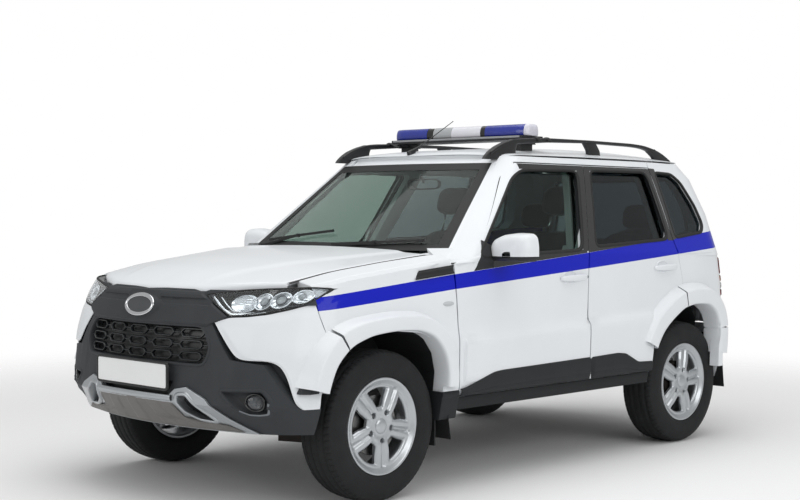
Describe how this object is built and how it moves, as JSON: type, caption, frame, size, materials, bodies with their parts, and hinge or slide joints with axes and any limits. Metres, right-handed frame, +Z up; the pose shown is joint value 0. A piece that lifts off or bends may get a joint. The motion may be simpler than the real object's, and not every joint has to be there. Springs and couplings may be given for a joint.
{
  "type": "police suv",
  "caption": "Compact five-door police SUV with roof light bar, opening doors, bonnet and side-hinged tailgate with spare wheel, steered front wheels and rolling wheels.",
  "frame": {"origin": "on the ground under the middle of the overall length and width", "axes": "+X to the car's left, +Y to its rear, +Z up; the car faces -Y"},
  "size_m": [2.098, 4.101, 1.8105],
  "materials": {
    "body_paint": "gloss",
    "clear_glass": "polished",
    "dark_glass": "polished",
    "lamp_lens": "polished",
    "tail_lens": "polished",
    "bar_lens": "polished",
    "grey_plastic": "grained",
    "black_plastic": "matte",
    "silver_plastic": "satin",
    "plate_white": "satin",
    "tyre_rubber": "matte",
    "alloy": "satin",
    "chassis_paint": "matte",
    "casting": "rough",
    "engine_metal": "cast",
    "exhaust_steel": "dull",
    "trim_plastic": "grained",
    "seat_cloth": "woven",
    "wheel_skin": "satin"
  },
  "bodies": {
    "body": {"side_frame_left": "body_paint", "side_frame_right": "body_paint", "front_wing_left": "body_paint", "front_wing_right": "body_paint", "roof_panel": "body_paint", "front_bumper": "grey_plastic", "bumper_corners": "body_paint", "grille": "black_plastic", "skid_plate": "silver_plastic", "headlamps": "lamp_lens", "fog_lamps": "lamp_lens", "windscreen": "clear_glass", "quarter_glass": "dark_glass", "cowl": "black_plastic", "wipers": "black_plastic", "rear_bumper": "body_paint", "tail_lamps": "tail_lens", "number_plates": "plate_white", "roof_rails": "black_plastic", "light_bar_base": "trim_plastic", "light_bar_lenses": "bar_lens", "antenna": "black_plastic", "floor_pan": "chassis_paint", "arch_liners": "black_plastic", "engine": "engine_metal", "chassis_frame": "chassis_paint", "front_axle": "chassis_paint", "rear_axle": "chassis_paint", "exhaust": "exhaust_steel", "dashboard": "trim_plastic", "front_seats": "seat_cloth", "rear_bench": "seat_cloth"},
    "door_front_left": {"door_front_left": "body_paint", "glass_front_left": "clear_glass", "mirror_left": "body_paint"},
    "door_rear_left": {"door_rear_left": "body_paint", "glass_rear_left": "dark_glass"},
    "knuckle_left": {"knuckle_left": "casting"},
    "wheel_front_left": {"tyre_front_left": "tyre_rubber", "rim_front_left": "alloy"},
    "wheel_rear_left": {"tyre_rear_left": "tyre_rubber", "rim_rear_left": "alloy"},
    "door_front_right": {"door_front_right": "body_paint", "glass_front_right": "clear_glass", "mirror_right": "body_paint"},
    "door_rear_right": {"door_rear_right": "body_paint", "glass_rear_right": "dark_glass"},
    "knuckle_right": {"knuckle_right": "casting"},
    "wheel_front_right": {"tyre_front_right": "tyre_rubber", "rim_front_right": "alloy"},
    "wheel_rear_right": {"tyre_rear_right": "tyre_rubber", "rim_rear_right": "alloy"},
    "bonnet": {"bonnet_panel": "body_paint"},
    "tailgate": {"tailgate_panel": "body_paint", "tailgate_glass": "dark_glass", "spare_carrier": "chassis_paint", "tyre_spare": "tyre_rubber", "rim_spare": "alloy"},
    "steering_wheel": {"steering_wheel": "wheel_skin"}
  },
  "joints": [
    {"name": "door_front_left_hinge", "type": "hinge", "parent": "body", "child": "door_front_left", "pos_m": [0.862, -0.785, 1], "axis": [0, 0, -1], "range_deg": [0, 65]},
    {"name": "door_rear_left_hinge", "type": "hinge", "parent": "body", "child": "door_rear_left", "pos_m": [0.862, 0.2235, 1], "axis": [0, 0, -1], "range_deg": [0, 65]},
    {"name": "door_front_right_hinge", "type": "hinge", "parent": "body", "child": "door_front_right", "pos_m": [-0.862, -0.785, 1], "axis": [0, 0, 1], "range_deg": [0, 65]},
    {"name": "door_rear_right_hinge", "type": "hinge", "parent": "body", "child": "door_rear_right", "pos_m": [-0.862, 0.2235, 1], "axis": [0, 0, 1], "range_deg": [0, 65]},
    {"name": "bonnet_hinge", "type": "hinge", "parent": "body", "child": "bonnet", "pos_m": [0, -0.8955, 1.092], "axis": [-1, 0, 0], "range_deg": [0, 55]},
    {"name": "tailgate_hinge", "type": "hinge", "parent": "body", "child": "tailgate", "pos_m": [-0.612, 1.7445, 0.9], "axis": [0, 0, 1], "range_deg": [0, 90]},
    {"name": "steering_column", "type": "hinge", "parent": "body", "child": "steering_wheel", "pos_m": [0.365, -0.2315, 0.952], "axis": [0, 0.9135, 0.4067], "range_deg": [-540, 540]},
    {"name": "steer_left", "type": "hinge", "parent": "body", "child": "knuckle_left", "pos_m": [0.673, -1.2775, 0.343], "axis": [0, 0, 1], "range_deg": [-30, 30]},
    {"name": "steer_right", "type": "hinge", "parent": "body", "child": "knuckle_right", "pos_m": [-0.673, -1.2775, 0.343], "axis": [0, 0, 1], "range_deg": [-30, 30]},
    {"name": "wheel_front_left_spin", "type": "hinge", "parent": "knuckle_left", "child": "wheel_front_left", "pos_m": [0.733, -1.2775, 0.343], "axis": [1, 0, 0], "continuous": true},
    {"name": "wheel_front_right_spin", "type": "hinge", "parent": "knuckle_right", "child": "wheel_front_right", "pos_m": [-0.733, -1.2775, 0.343], "axis": [1, 0, 0], "continuous": true},
    {"name": "wheel_rear_left_spin", "type": "hinge", "parent": "body", "child": "wheel_rear_left", "pos_m": [0.728, 1.1725, 0.343], "axis": [1, 0, 0], "continuous": true},
    {"name": "wheel_rear_right_spin", "type": "hinge", "parent": "body", "child": "wheel_rear_right", "pos_m": [-0.728, 1.1725, 0.343], "axis": [1, 0, 0], "continuous": true}
  ],
  "couplings": [
    {"joint": "steer_left", "follows": "steering_column", "ratio": 0.055556},
    {"joint": "steer_right", "follows": "steering_column", "ratio": 0.055556}
  ]
}
